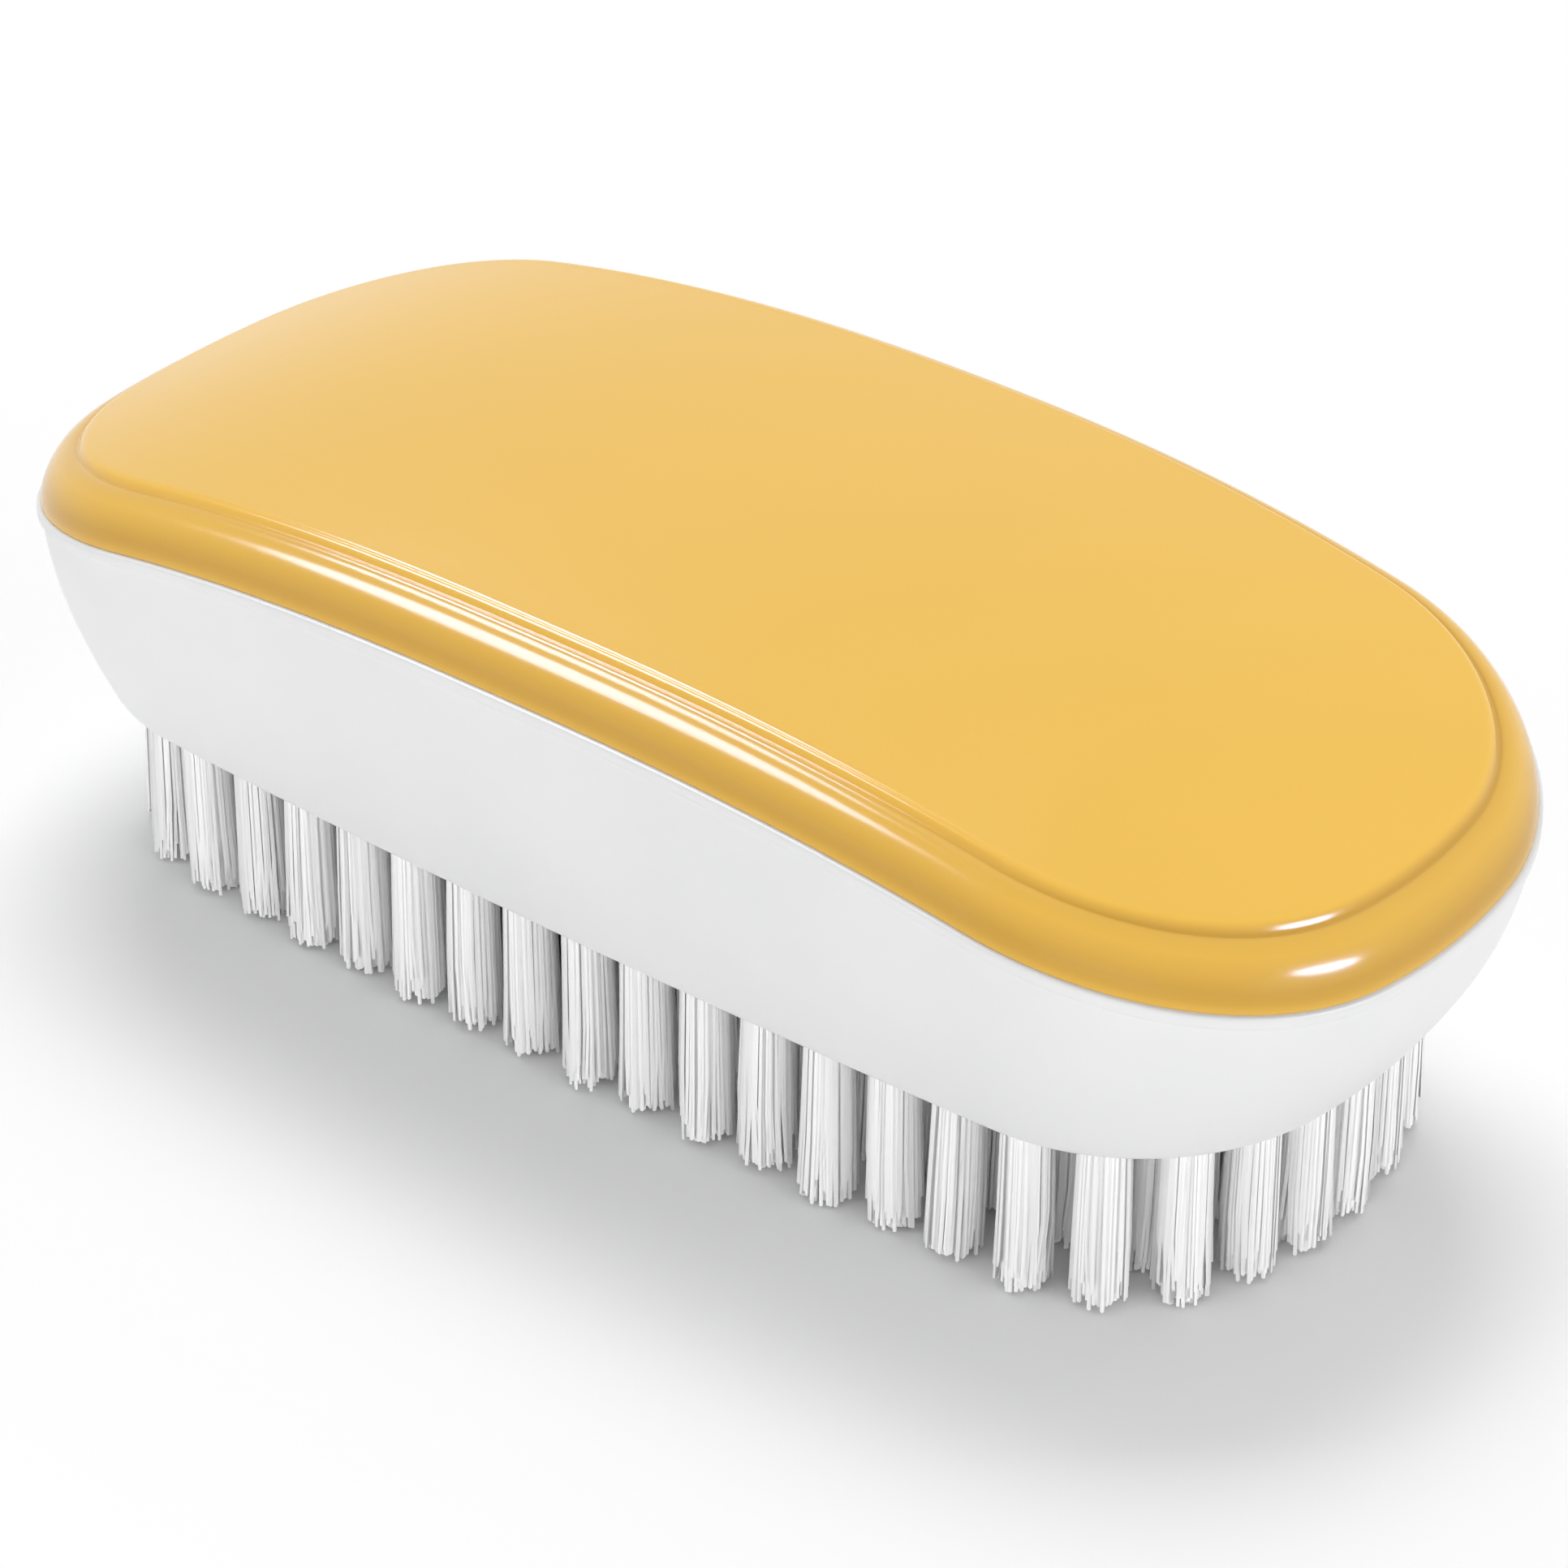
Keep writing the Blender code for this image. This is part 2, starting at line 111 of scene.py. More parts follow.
def outline_place(x, y):
    """The nearest point of the outline, by its number, and how far inside it (x, y) lies."""
    _, i, _ = outline_tree.find((x, y, 0))
    return i, (Vector(outline[i]) - Vector((x, y))).dot(Vector(outward[i]))


def seam_height(x):
    return end_seam_height + arch_rise * (1 - abs(x / half_length) ** arch_power)


def pull(height):
    bpy.ops.mesh.extrude_region_move(TRANSFORM_OT_translate={"value": (0, 0, height)})


def plate(name, points, bottom, top):
    """A closed flat plate of the brush's outline, left in edit mode."""
    bpy.ops.object.select_all(action="DESELECT")
    bpy.ops.mesh.primitive_circle_add(vertices=len(points), radius=half_width, fill_type="NGON")
    piece = bpy.context.object
    piece.name = name
    piece.data.name = name
    for vertex, (x, y) in zip(piece.data.vertices, points):
        vertex.co = (x, y, bottom)
    bpy.ops.object.mode_set(mode="EDIT")
    bpy.ops.mesh.select_mode(type="FACE")
    bpy.ops.mesh.select_all(action="SELECT")
    pull(top - bottom)
    bpy.ops.mesh.select_all(action="SELECT")
    bpy.ops.mesh.normals_make_consistent(inside=False)
    return piece


def trace(profile):
    """Draws the selected face in and along its normal, from each (inset, height) to the next."""
    for (inset, height), (next_inset, next_height) in zip(profile, profile[1:]):
        bpy.ops.mesh.inset(thickness=next_inset - inset, depth=next_height - height)


def pick_plate(piece, direction):
    """Selects the one large face that looks up (1) or down (-1)."""
    bpy.ops.object.mode_set(mode="OBJECT")
    for part in (piece.data.vertices, piece.data.edges, piece.data.polygons):
        part.foreach_set("select", [False] * len(part))
    faces = piece.data.polygons
    largest = max(faces, key=lambda face: len(face.vertices) + direction * face.normal.z)
    largest.select = True
    bpy.ops.object.mode_set(mode="EDIT")


def face_outwards():
    """Turns all faces of the active piece outwards."""
    bpy.ops.object.mode_set(mode="EDIT")
    bpy.ops.mesh.select_all(action="SELECT")
    bpy.ops.mesh.normals_make_consistent(inside=False)
    bpy.ops.object.mode_set(mode="OBJECT")


def close_mesh():
    """Merges what meets in the active piece, turns its faces outwards and shades it smooth."""
    bpy.ops.object.mode_set(mode="EDIT")
    bpy.ops.mesh.select_all(action="SELECT")
    bpy.ops.mesh.remove_doubles(threshold=0.002 * mm)
    face_outwards()
    bpy.ops.object.shade_smooth_by_angle(angle=math.radians(smooth_angle))


def new_material(name, color, roughness):
    material = bpy.data.materials.new(name)
    material.use_nodes = True
    shader = material.node_tree.nodes["Principled BSDF"]
    shader.inputs["Base Color"].default_value = (*color, 1)
    shader.inputs["Roughness"].default_value = roughness
    return material, shader


def add_node(owner, kind, **values):
    """A node of a material or world, with its settings and its unlinked inputs set by name."""
    node = owner.node_tree.nodes.new(kind)
    for name, value in values.items():
        if name in node.inputs:
            node.inputs[name].default_value = value
        else:
            setattr(node, name, value)
    return node


def link(owner, source, target):
    owner.node_tree.links.new(source, target)


def surface_noise(material, scale, detail):
    """Noise over the piece's own coordinates, in features to the metre."""
    place = add_node(material, "ShaderNodeTexCoord")
    noise = add_node(material, "ShaderNodeTexNoise", Scale=scale, Detail=detail)
    link(material, place.outputs["Object"], noise.inputs["Vector"])
    return noise


def color_between(material, shader, source, low, high, span=(0, 1)):
    """Lets the base colour go from one tone to another as the source goes over the span."""
    ramp = add_node(material, "ShaderNodeValToRGB")
    for element, place, color in zip(ramp.color_ramp.elements, span, (low, high)):
        element.position = place
        element.color = (*color, 1)
    link(material, source, ramp.inputs["Fac"])
    link(material, ramp.outputs["Color"], shader.inputs["Base Color"])


def vary_roughness(material, shader, noise, low, high):
    spread = add_node(material, "ShaderNodeMapRange")
    spread.inputs["To Min"].default_value = low
    spread.inputs["To Max"].default_value = high
    link(material, noise.outputs["Fac"], spread.inputs["Value"])
    link(material, spread.outputs["Result"], shader.inputs["Roughness"])


def bump(material, shader, noise, height):
    relief = add_node(material, "ShaderNodeBump", Strength=1.0, Distance=height)
    link(material, noise.outputs["Fac"], relief.inputs["Height"])
    link(material, relief.outputs["Normal"], shader.inputs["Normal"])


# Profiles in millimetres, as the inset from the outline and the height over the seam
lip_profile = [(-0.40, -0.42), (-0.38, -0.24), (-0.30, -0.10), (-0.16, -0.03), (3.4, -0.03)]
lip_profile.append((3.41, -4.0))
wall_profile = [(-0.40, -0.95), (-0.37, -1.10), (-0.28, -1.24), (-0.14, -1.34), (0.0, -1.40)]
foot_profile = [(-0.04, -24.5), (-0.18, -24.62), (-0.36, -24.8), (-0.48, -25.03), (-0.52, -25.3)]
foot_profile += [(-0.46, -25.58), (-0.3, -25.85), (-0.05, -26.05), (0.3, -26.16), (0.9, -26.2)]
wall_rings = [(0.0, depth) for depth in np.linspace(-2.2, -24.3, 26)]

body = plate("body_moulding", outline + outward * lip, wall_profile[0][1] * mm, lip_profile[0][1] * mm)
pick_plate(body, 1)
trace([(inset * mm, height * mm) for inset, height in lip_profile])
pick_plate(body, -1)
trace([(inset * mm, -height * mm) for inset, height in wall_profile + wall_rings + foot_profile])
bpy.ops.object.mode_set(mode="OBJECT")

# The wall is drawn straight down at mid-length depth. Here it is bent to the arched seam and flared.
for vertex in body.data.vertices:
    x, y, z = vertex.co
    i, inset = outline_place(x, y)
    in_mouth = inset > mm and z > -foot_height / 2
    if in_mouth:
        vertex.co.z = seam_height(x) + z
        continue
    span = seam_height(outline[i][0]) - foot_height
    depth = -z
    if depth > wall_depth - kept_edge:
        depth = span - (wall_depth - depth)
    elif depth > kept_edge:
        depth = kept_edge + (depth - kept_edge) * (span - 2 * kept_edge) / (wall_depth - 2 * kept_edge)
    nx, ny = outward[i]
    inset += (side_flare * ny**2 + end_flare * nx**2) * (depth / span) ** flare_power
    vertex.co = (outline[i][0] - nx * inset, outline[i][1] - ny * inset, seam_height(outline[i][0]) - depth)
pick_plate(body, 1)
pull(-kept_edge)
bpy.ops.transform.resize(value=(*floor_to_mouth, 0), center_override=(0, 0, inner_floor))
pick_plate(body, -1)
land_left = foot_land - foot_profile[-1][0] * mm
trace([(0, 0), (land_left, 0), (land_left + least_inset, foot_height - pocket_ceiling)])
close_mesh()

white_plastic, shader = new_material("white_moulded_plastic", (0.8, 0.8, 0.8), 0.36)
tone_and_painted_shade = surface_noise(white_plastic, 45, 3).outputs["Fac"]
color_between(white_plastic, shader, tone_and_painted_shade, (0.72, 0.722, 0.725), (0.745, 0.745, 0.745), (0.35, 0.65))
grain = surface_noise(white_plastic, 2600, 4)
vary_roughness(white_plastic, shader, grain, 0.33, 0.45)
bump(white_plastic, shader, grain, 0.006 * mm)
body.data.materials.append(white_plastic)
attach(body, "root")
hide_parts("body_shell")

# Tufted base. A white plastic plate pressed into the pocket under the body, with a round hole for
# each tuft. The holes follow the foot's edge in an even outer ring, with straight rows across the
# brush inside it.
rows_each_side = 9
tufts_in_row = 7
tufts_in_end_row = 6
end_row_bow = 0.6
end_row_gap = 0.25
base_inset = foot_land + 0.15 * mm
base_bottom = 17.9 * mm
base_top = 23.9 * mm
ring_inset = 4.64 * mm
hole_radius = 2.38 * mm
hole_sides = 20
drill_length = 3 * mm
drill_lead = 0.4 * mm


def foot_outline(inset):
    flare = side_flare * outward[:, 1] ** 2 + end_flare * outward[:, 0] ** 2
    return outline - outward * (flare + inset)[:, None]


ring = foot_outline(ring_inset)[: quarter_count + 1]
ring_run = np.concatenate([[0], np.cumsum(np.hypot(*np.diff(ring, axis=0).T))])
row_pitch = ring[-1][0] / (rows_each_side + end_row_gap)


def row_tufts(row):
    """The places of a row's tufts. The end rows bow out to the ends of the brush."""
    place = abs(row)
    end_x = np.interp(min(place, rows_each_side - 1) * row_pitch, ring_run, ring[:, 0])
    middle_x = place * row_pitch
    count = tufts_in_row
    if place == rows_each_side:
        middle_x = ring[-1][0]
        end_x += end_row_bow * (middle_x - (place - 1) * row_pitch)
        count = tufts_in_end_row
    end_y = np.interp(end_x, ring[:, 0], ring[:, 1])
    tufts = []
    for y in np.linspace(-end_y, end_y, count):
        x = middle_x - (middle_x - end_x) * (y / end_y) ** 2
        tufts.append((math.copysign(x, row), y))
    return tufts


rows = {row: row_tufts(row) for row in range(-rows_each_side, rows_each_side + 1)}

base = plate("tufted_base", foot_outline(base_inset), base_bottom, base_top)
bpy.ops.object.mode_set(mode="OBJECT")
bpy.ops.object.select_all(action="DESELECT")
bpy.ops.mesh.primitive_cylinder_add(vertices=hole_sides, radius=hole_radius, depth=drill_length)
drill = bpy.context.object
for vertex in drill.data.vertices:
    vertex.co.z += base_bottom + drill_length / 2 - drill_lead
drill_shape = bmesh.new()
for tufts in rows.values():
    for x, y in tufts:
        start = len(drill_shape.verts)
        drill_shape.from_mesh(drill.data)
        drill_shape.verts.ensure_lookup_table()
        bmesh.ops.translate(drill_shape, verts=drill_shape.verts[start:], vec=(x, y, 0))
drill_shape.to_mesh(drill.data)
drill_shape.free()
drill.location = (0, 0, 0)
holes = base.modifiers.new("holes", "BOOLEAN")
holes.operation = "DIFFERENCE"
holes.solver = "EXACT"
holes.object = drill
bpy.context.view_layer.objects.active = base
base.select_set(True)
face_outwards()
bpy.ops.object.modifier_apply(modifier="holes")
bpy.data.objects.remove(drill)
bpy.ops.object.shade_smooth_by_angle(angle=math.radians(smooth_angle))

base.data.materials.append(white_plastic)
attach(base, "root")

# Bristle tufts. Each hole holds a tuft of fine white nylon filaments. They spread a little towards
# their trimmed tips, gather there in a few wisps, and those in a tuft's middle reach furthest down.
filaments = 300
filament_radius = 0.175 * mm
filament_cut = -0.2
root_spread = 2.3 * mm
tip_spread = 2.8 * mm
root_height = 19.4 * mm
lowest_tip = 0.1 * mm
edge_trim = 3.2 * mm
ragged_trim = 0.8 * mm
wisps_in_tuft = 4
least_gather = 0.05
most_gather = 0.25
tuft_lean = 0.15 * mm
tip_scatter = 0.07 * mm
bend_scatter = 0.04 * mm
golden_turn = 2.39996
own_roundness = 0.25
tuft_roundness = 1.6
tuft_kinds = 9
draw = random.Random(5)

bpy.ops.object.select_all(action="DESELECT")
bpy.ops.mesh.primitive_cylinder_add(vertices=4, radius=filament_radius, depth=1, end_fill_type="NGON")
filament = bpy.context.object
bpy.ops.object.mode_set(mode="EDIT")
bpy.ops.mesh.select_all(action="SELECT")
bpy.ops.mesh.bisect(plane_co=(0, 0, filament_cut), plane_no=(0, 0, 1))
bpy.ops.object.mode_set(mode="OBJECT")
strand_points = np.array([vertex.co for vertex in filament.data.vertices])
strand_share = 0.5 - strand_points[:, 2]
buried_end = max(filament.data.polygons, key=lambda face: face.normal.z)
strand_faces = [tuple(face.vertices) for face in filament.data.polygons if face != buried_end]
strand_corners = np.array([v for face in strand_faces for v in face])
level_faces = [np.ptp(strand_points[list(face), 2]) == 0 for face in strand_faces]
tip_corners = np.repeat(level_faces, [len(face) for face in strand_faces])
bpy.data.objects.remove(filament)


def scatter(spread):
    return np.array([draw.gauss(0, spread), draw.gauss(0, spread)])


def tuft_kind():
    """Points, normals and shades of one tuft, with its filaments packed in a spiral."""
    wisps = [scatter(0.5 * tip_spread) for _ in range(wisps_in_tuft)]
    lean = scatter(tuft_lean)
    points, normals, shades = [], [], []
    s = strand_share[:, None]
    for k in range(filaments):
        reach = math.sqrt((k + 0.5) / filaments)
        turn = k * golden_turn + draw.uniform(-0.2, 0.2)
        way = np.array([math.cos(turn), math.sin(turn)])
        root = way * reach * (root_spread - filament_radius)
        tip = way * reach * (tip_spread - filament_radius) + scatter(tip_scatter) + lean
        wisp = min(wisps, key=lambda spot: np.hypot(*(spot - tip)))
        pull_in = (wisp - tip) * draw.uniform(least_gather, most_gather)
        edge_share = reach**2.5 * draw.random() ** 1.6
        low = lowest_tip + edge_trim * edge_share + ragged_trim * draw.random()
        bend = scatter(bend_scatter) * 4 * s * (1 - s)
        spot = root + (tip - root) * s**1.5 + pull_in * s**5 + bend
        z = root_height + (low - root_height) * strand_share
        points.append(np.column_stack([strand_points[:, :2] + spot, z]))
        own_side = strand_points[:, :2] / filament_radius
        normals.append(own_roundness * own_side + tuft_roundness * reach * way)
        shades.append(draw.random())
    return np.array(points), np.array(normals), np.array(shades)


kinds = [tuft_kind() for _ in range(tuft_kinds)]

nylon, shader = new_material("white_nylon_filament", (0.92, 0.92, 0.92), 0.5)
shade = add_node(nylon, "ShaderNodeAttribute", attribute_name="filament_shade")
color_between(nylon, shader, shade.outputs["Fac"], (0.94, 0.94, 0.94), (0.99, 0.99, 0.99))
shader.inputs["Subsurface Weight"].default_value = 0.2
shader.inputs["Subsurface Radius"].default_value = (1, 1, 1)
shader.inputs["Subsurface Scale"].default_value = 0.1 * mm
shader.inputs["Sheen Weight"].default_value = 0.3

for row, tufts in rows.items():
    points, normals, shades = [], [], []
    for x, y in tufts:
        shape, sides, tones_and_painted_shades = draw.choice(kinds)
        turn = draw.uniform(0, 2 * math.pi)
        spin = np.array([[math.cos(turn), math.sin(turn)], [-math.sin(turn), math.cos(turn)]])
        placed = shape.copy()
        placed[:, :, :2] = shape[:, :, :2] @ spin + np.array([x, y])
        points.append(placed.reshape(-1, 3))
        normals.append((sides @ spin).reshape(-1, 2))
        shades.append(np.repeat(tones_and_painted_shades, len(strand_share)))
    points = np.concatenate(points)
    normals = np.pad(np.concatenate(normals), ((0, 0), (0, 1)))
    normals /= np.linalg.norm(normals, axis=1)[:, None] + 1e-9
    starts = np.arange(0, len(points), len(strand_share))
    faces = [tuple(start + v for v in face) for start in starts.tolist() for face in strand_faces]
    mesh = bpy.data.meshes.new(f"bristle_row_{row + rows_each_side + 1:02d}")
    mesh.from_pydata(points.tolist(), [], faces)
    tone_and_painted_shade = mesh.attributes.new("filament_shade", "FLOAT", "POINT")
    tone_and_painted_shade.data.foreach_set("value", np.concatenate(shades).astype(np.float32))
    mesh.shade_smooth()
    corner_normals = normals[starts[:, None] + strand_corners]
    corner_normals[:, tip_corners] = (0, 0, -1)
    mesh.normals_split_custom_set(corner_normals.reshape(-1, 3).tolist())
    mesh.materials.append(nylon)
    bristles = bpy.data.objects.new(mesh.name, mesh)
    bpy.context.scene.collection.objects.link(bristles)
    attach(bristles, "root")
    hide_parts(f"tuft_row_{row + rows_each_side + 1:02d}")

# Cover moulding. A high-gloss yellow plastic shell that follows the body's arched seam: a rounded
# edge band, a small step, and a raised, gently crowned panel. Its skirt goes down inside the
# body's rim.
band_inset = 3.6 * mm
band_height = 4.7 * mm
band_foot = 0.2 * mm
band_round = 1.15
band_points = 19
band_last_turn = math.pi / 2 - 0.12
step_height = 0.8 * mm
crown = 1.19 * mm
panel_steps = 16
under_steps = 6
skirt_inset = 3.7 * mm
skirt_depth = 2.4 * mm
skirt_wall = 1.3 * mm
cover_wall = 2.2 * mm

band_first_turn = math.asin((band_foot / band_height) ** (1 / band_round))
band = []
for turn in np.linspace(band_first_turn, band_last_turn, band_points):
    inset = band_inset * (1 - math.cos(turn) ** band_round)
    band.append((inset, band_height * math.sin(turn) ** band_round))
step = [(3.44, 4.66), (3.56, 4.62), (3.66, 4.63), (3.75, 4.7), (3.85, 4.84), (3.95, 4.99)]
step += [(4.05, 5.14), (4.16, 5.27), (4.3, 5.38), (4.48, 5.45), (4.7, 5.49), (4.9, 5.5)]
step = [(inset * mm, height * mm) for inset, height in step]
band_start = band[0][0]
under_edge = [(0, 0.08 * mm), (0.02 * mm, 0.03 * mm), (0.06 * mm, 0), (skirt_inset, 0)]

# The panel sinks a little towards the brush's ends, by a share that grows with the inset
end_sink = 0.55 * mm
sink_insets = [1.8 * mm, 2.6 * mm, 3.4 * mm]
sink_shares = [0, 0.4, 1]

# Painted shade and light on the cover: 0 is the light yellow and 1 the deep one, by millimetres up the
# band, and painted shade in the crease along the groove
painted_band_shade_edge = 3.4 * mm
painted_shade_heights = [0, 0.4, 0.9, 1.5, 2.1, 3.0, 3.8, 4.3, 4.6]
band_painted_shades = [0.45, 0.6, 0.9, 1.0, 0.8, 0.5, 0.3, 0.35, 0.4]
painted_groove_inset = 3.62 * mm
painted_groove_width = 0.42 * mm
painted_groove_least_height = 4 * mm
painted_groove_places = [-60, -35, 35, 60]
painted_groove_shades = [0.6, 0.35, 0.35, 1.0]


def close_over(sizes, rises):
    """Carries the selected face on to the brush's middle line, in rings drawn in and lifted."""
    for (sx, sy), rise in zip(sizes, rises):
        pull(rise)
        bpy.ops.transform.resize(value=(sx, sy, 1), center_override=(0, 0, 0))
    bpy.ops.mesh.delete(type="ONLY_FACE")


def panel_rings(steps):
    """Scale factors from ring to ring over the panel, and how much the crown rises at each."""
    shares = np.linspace(0, 1, steps + 1)
    middle = 1 - half_width / half_length
    across = 1 - shares
    along = 1 - shares * (1 - middle)
    bulge = crown * (1 - (1 - shares) ** 2)
    sizes = [(along[k + 1] / along[k], across[k + 1] / across[k]) for k in range(steps)]
    return sizes, np.diff(bulge)


cover = plate("cover_moulding", outline - outward * band_start, under_edge[0][1], band[0][1])
pick_plate(cover, 1)
trace(band + step)
close_over(*panel_rings(panel_steps))
pick_plate(cover, -1)
trace([(inset, -height) for inset, height in under_edge])
skirt = [(0, 0), (least_inset, skirt_depth), (skirt_wall, skirt_depth)]
skirt.append((skirt_wall + least_inset, cover_wall - band_height - step_height))
trace(skirt)
close_over(*panel_rings(under_steps))
bpy.ops.object.mode_set(mode="OBJECT")
# Each point's painted shade: painted shade and light by height on the band, and painted shade in the
# groove's crease, stronger towards the ends
tones_and_painted_shades = []
for vertex in cover.data.vertices:
    x, y, z = vertex.co
    _, inset = outline_place(x, y)
    tone_and_painted_shade = np.interp(z / mm, painted_shade_heights, band_painted_shades) if inset < painted_band_shade_edge else 0
    groove = np.interp(x / mm, painted_groove_places, painted_groove_shades)
    groove *= math.exp(-(((inset - painted_groove_inset) / painted_groove_width) ** 2))
    tones_and_painted_shades.append(max(tone_and_painted_shade, groove if z > painted_groove_least_height else 0))
    if z > 0:
        sink_share = np.interp(inset, sink_insets, sink_shares)
        vertex.co.z -= end_sink * abs(x / half_length) ** 3 * sink_share
    vertex.co.z += seam_height(x)
cover.data.attributes.new("painted_edge_shade", "FLOAT", "POINT").data.foreach_set("value", tones_and_painted_shades)
close_mesh()

yellow_plastic, shader = new_material("yellow_gloss_plastic", (0.84, 0.52, 0.085), 0.15)
# The painted shade from the attribute, plus a little random tone from the noise, takes the base colour
# towards the deep yellow
painted_edge_shade_node = add_node(yellow_plastic, "ShaderNodeAttribute", attribute_name="painted_edge_shade")
flow = surface_noise(yellow_plastic, 30, 2)
random_tone_and_painted_shade = add_node(yellow_plastic, "ShaderNodeMath", operation="MULTIPLY_ADD")
random_tone_and_painted_shade.inputs[1].default_value = 0.12
link(yellow_plastic, flow.outputs["Fac"], random_tone_and_painted_shade.inputs[0])
link(yellow_plastic, painted_edge_shade_node.outputs["Fac"], random_tone_and_painted_shade.inputs[2])
# The deep yellow is the colour of the painted shade on the band and in the groove
color_between(yellow_plastic, shader, random_tone_and_painted_shade.outputs[0], (0.885, 0.535, 0.08), (0.61, 0.345, 0.045))
ripple = surface_noise(yellow_plastic, 260, 3)
vary_roughness(yellow_plastic, shader, ripple, 0.15, 0.19)
shader.inputs["Specular IOR Level"].default_value = 0.3
shader.inputs["Specular Tint"].default_value = (0.5, 0.6, 1.0, 1)
shader.inputs["Coat Weight"].default_value = 0.15
shader.inputs["Coat Roughness"].default_value = 0.1
bump(yellow_plastic, shader, ripple, 0.004 * mm)
cover.data.materials.append(yellow_plastic)
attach(cover, "root")
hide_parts("top_cover")


def direct_sight(owner):
    """1 for what the camera sees, also mirrored or through glass, and 0 for light that spreads."""
    path = add_node(owner, "ShaderNodeLightPath")
    sight = path.outputs["Is Camera Ray"]
    for ray in ("Is Glossy Ray", "Is Transmission Ray"):
        either = add_node(owner, "ShaderNodeMath", operation="MAXIMUM")
        link(owner, sight, either.inputs[0])
        link(owner, path.outputs[ray], either.inputs[1])
        sight = either.outputs[0]
    return sight


# Floor: a plain pale surface that keeps the brush's shadow and turns to pure white further out
shadow_stretch = 0.6
shadow_inner = 30 * mm
shadow_outer = 100 * mm
bpy.ops.object.select_all(action="DESELECT")
bpy.ops.mesh.primitive_plane_add(size=8)
floor = bpy.context.object
floor.name = "floor"
paper, shader = new_material("white_floor", (0.95, 0.95, 0.95), 0.9)
shader.inputs["Specular IOR Level"].default_value = 0.0
place = add_node(paper, "ShaderNodeTexCoord")
narrow = add_node(paper, "ShaderNodeMapping", Scale=(shadow_stretch, 1, 1))
distance = add_node(paper, "ShaderNodeVectorMath", operation="LENGTH")
link(paper, place.outputs["Object"], narrow.inputs["Vector"])
link(paper, narrow.outputs["Vector"], distance.inputs[0])
far = add_node(paper, "ShaderNodeMapRange", interpolation_type="SMOOTHSTEP")
far.inputs["From Min"].default_value = shadow_inner
far.inputs["From Max"].default_value = shadow_outer
link(paper, distance.outputs["Value"], far.inputs["Value"])
share = add_node(paper, "ShaderNodeMath", operation="MULTIPLY")
link(paper, far.outputs["Result"], share.inputs[0])
link(paper, direct_sight(paper), share.inputs[1])
white = add_node(paper, "ShaderNodeEmission", Color=(1, 1, 1, 1), Strength=1.0)
both = add_node(paper, "ShaderNodeMixShader")
link(paper, share.outputs[0], both.inputs[0])
link(paper, shader.outputs[0], both.inputs[1])
link(paper, white.outputs[0], both.inputs[2])
link(paper, both.outputs[0], paper.node_tree.nodes["Material Output"].inputs["Surface"])
floor.data.materials.append(paper)

# Light: an even white room, soft boxes above and round the brush, and four that only give gloss
room_light = 0.35
room_seen = 1.0
gloss_color = (0.8, 0.88, 1.0)
along_shoulder = (0.84, -0.38, 0.38)
round_corner = (-0.19, 0.91, -0.36)
world = bpy.data.worlds.new("room")
bpy.context.scene.world = world
world.use_nodes = True
room = world.node_tree.nodes["Background"]
room.inputs["Color"].default_value = (1, 1, 1, 1)
level = add_node(world, "ShaderNodeMapRange")
level.inputs["To Min"].default_value = room_light
level.inputs["To Max"].default_value = room_seen
link(world, direct_sight(world), level.inputs["Value"])
link(world, level.outputs["Result"], room.inputs["Strength"])


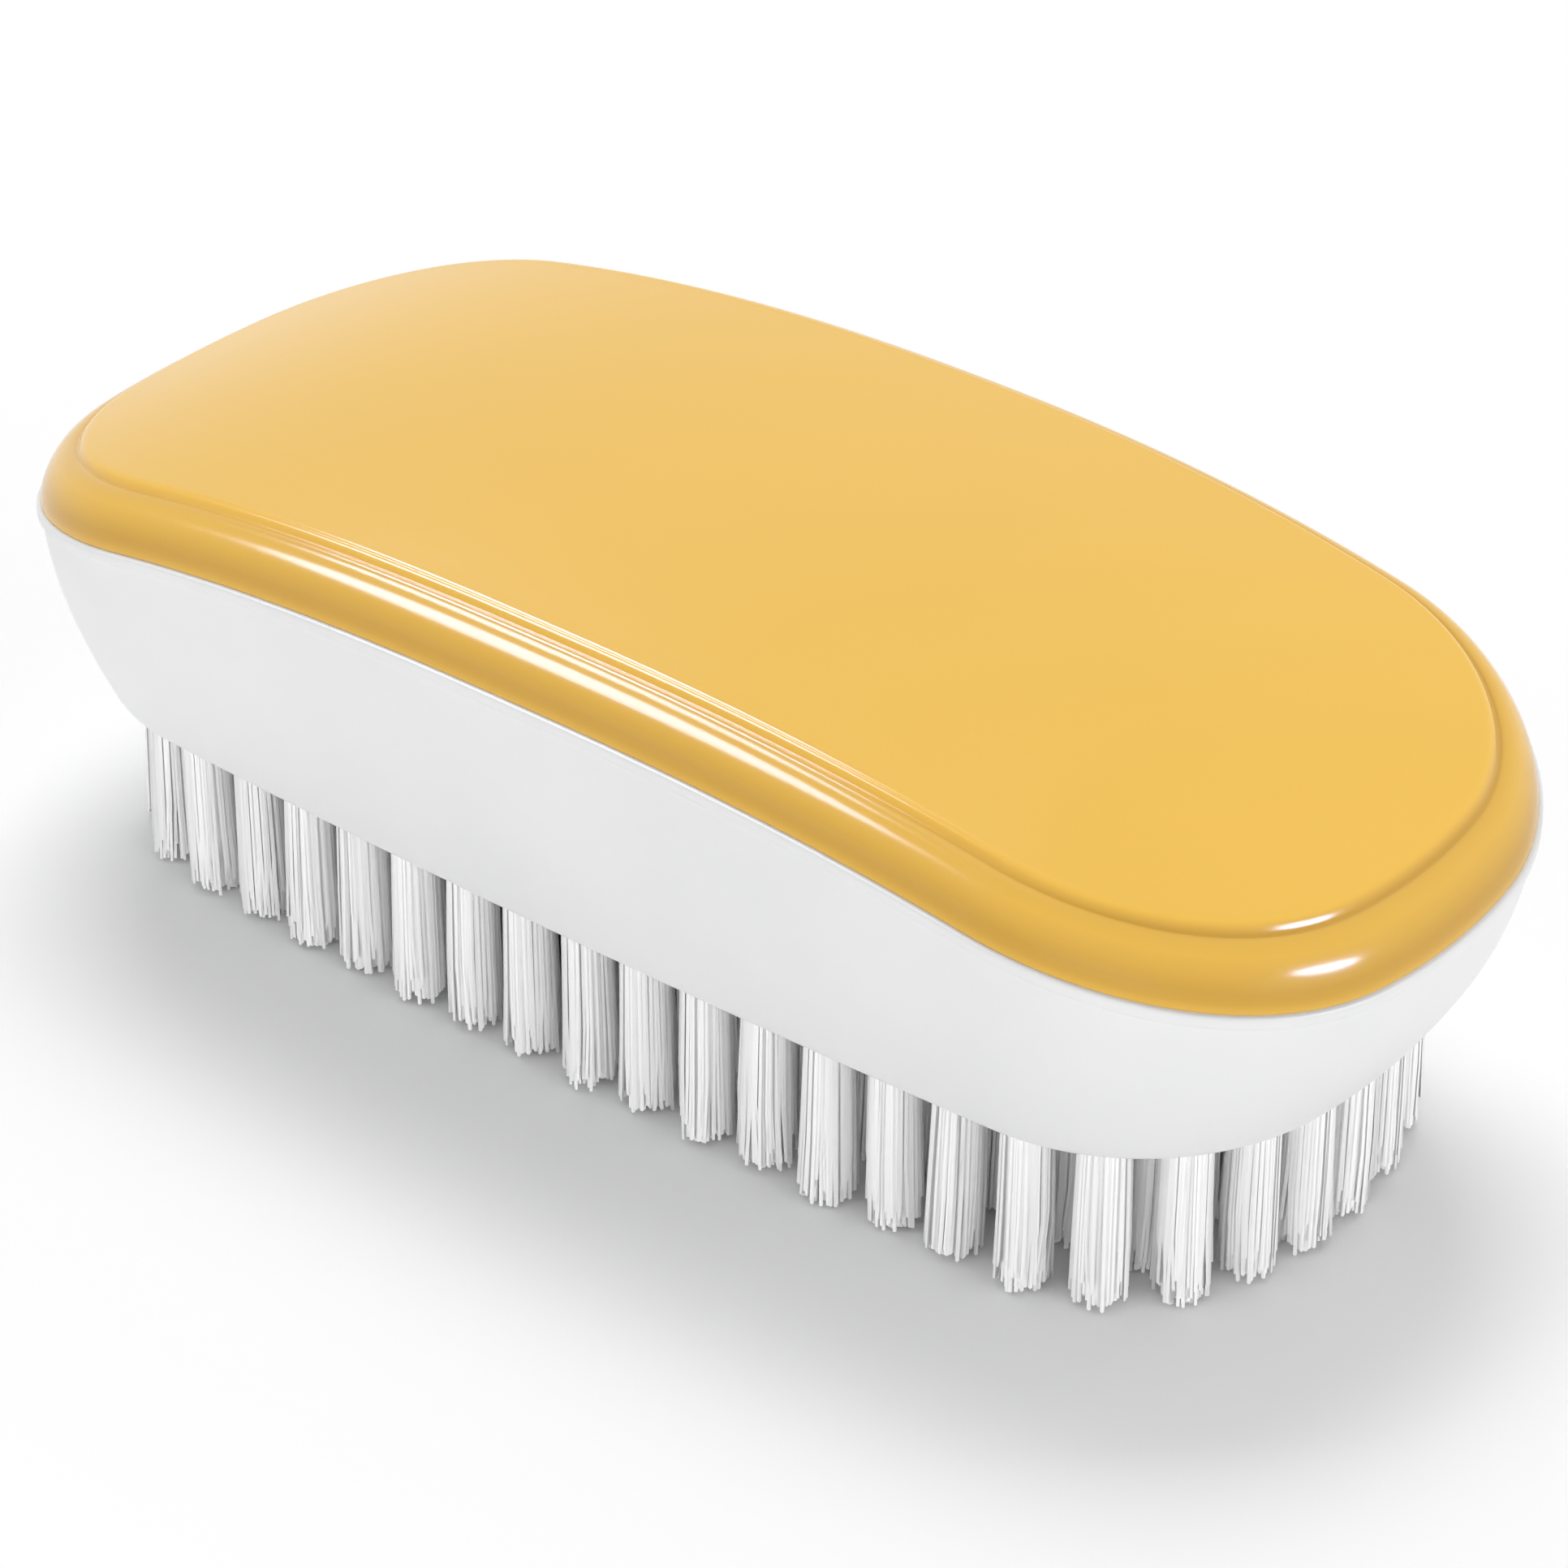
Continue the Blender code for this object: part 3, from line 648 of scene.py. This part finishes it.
def soft_box(name, direction, distance, width, height, power, gloss=None):
    """A lamp that faces the brush. With gloss, its long side's direction, it only gives gloss."""
    toward = Vector(direction).normalized()
    across = Vector(gloss or (-toward.y, toward.x, 0))
    across = (across - toward * across.dot(toward)).normalized()
    turned = Matrix((across, toward.cross(across), toward)).transposed()
    bpy.ops.object.light_add(type="AREA", location=toward * distance)
    lamp = bpy.context.object
    lamp.name = name
    lamp.data.shape = "ELLIPSE" if gloss else "RECTANGLE"
    lamp.data.size = width
    lamp.data.size_y = height
    lamp.data.energy = power
    lamp.data.color = gloss_color if gloss else (1, 1, 1)
    lamp.rotation_mode = "QUATERNION"
    lamp.rotation_quaternion = turned.to_quaternion()
    lamp.visible_diffuse = gloss is None
    lamp.visible_glossy = gloss is not None


soft_box("overhead_box", (-0.28, 0.3, 0.92), 1.3, 0.7, 0.6, 10.0)
soft_box("front_box", (-0.45, -0.85, 0.1), 1.2, 0.8, 0.4, 4.3)
soft_box("fill_box", (0.5, -0.82, 0.12), 1.2, 0.8, 0.4, 4.7)
soft_box("right_box", (0.97, 0.12, 0.12), 1.2, 0.8, 0.4, 5.5)
soft_box("back_box", (0.0, 0.96, 0.2), 1.2, 0.8, 0.4, 2.6)
soft_box("shoulder_gloss", (-0.495, -0.49, 0.71), 0.9, 0.57, 0.27, 9.6, along_shoulder)
soft_box("upper_gloss", (-0.495, -0.05, 0.87), 0.9, 0.55, 0.17, 5.4, along_shoulder)
soft_box("far_gloss", (-0.495, 0.33, 0.79), 0.9, 0.53, 0.12, 4.6, along_shoulder)
soft_box("corner_gloss", (0.93, 0.25, 0.25), 1.0, 0.36, 0.11, 5.0, round_corner)

# Camera: the photograph's view, from the right front and a little above
azimuth, elevation = math.radians(39.28), math.radians(31.97)
camera_distance = 465.7 * mm
aim_height = 25 * mm
back = Vector((
    math.sin(azimuth) * math.cos(elevation),
    -math.cos(azimuth) * math.cos(elevation),
    math.sin(elevation),
))
bpy.ops.object.camera_add(location=Vector((0, 0, aim_height)) + back * camera_distance)
camera = bpy.context.object
camera.rotation_mode = "QUATERNION"
camera.rotation_quaternion = back.to_track_quat("Z", "Y")
camera.data.sensor_width = 36
camera.data.lens = 120.8
camera.data.shift_x = 0.0179
camera.data.shift_y = -0.0364
camera.data.clip_start = 10 * mm
camera.data.clip_end = 20
bpy.context.scene.camera = camera
bpy.context.scene.view_settings.view_transform = "Standard"
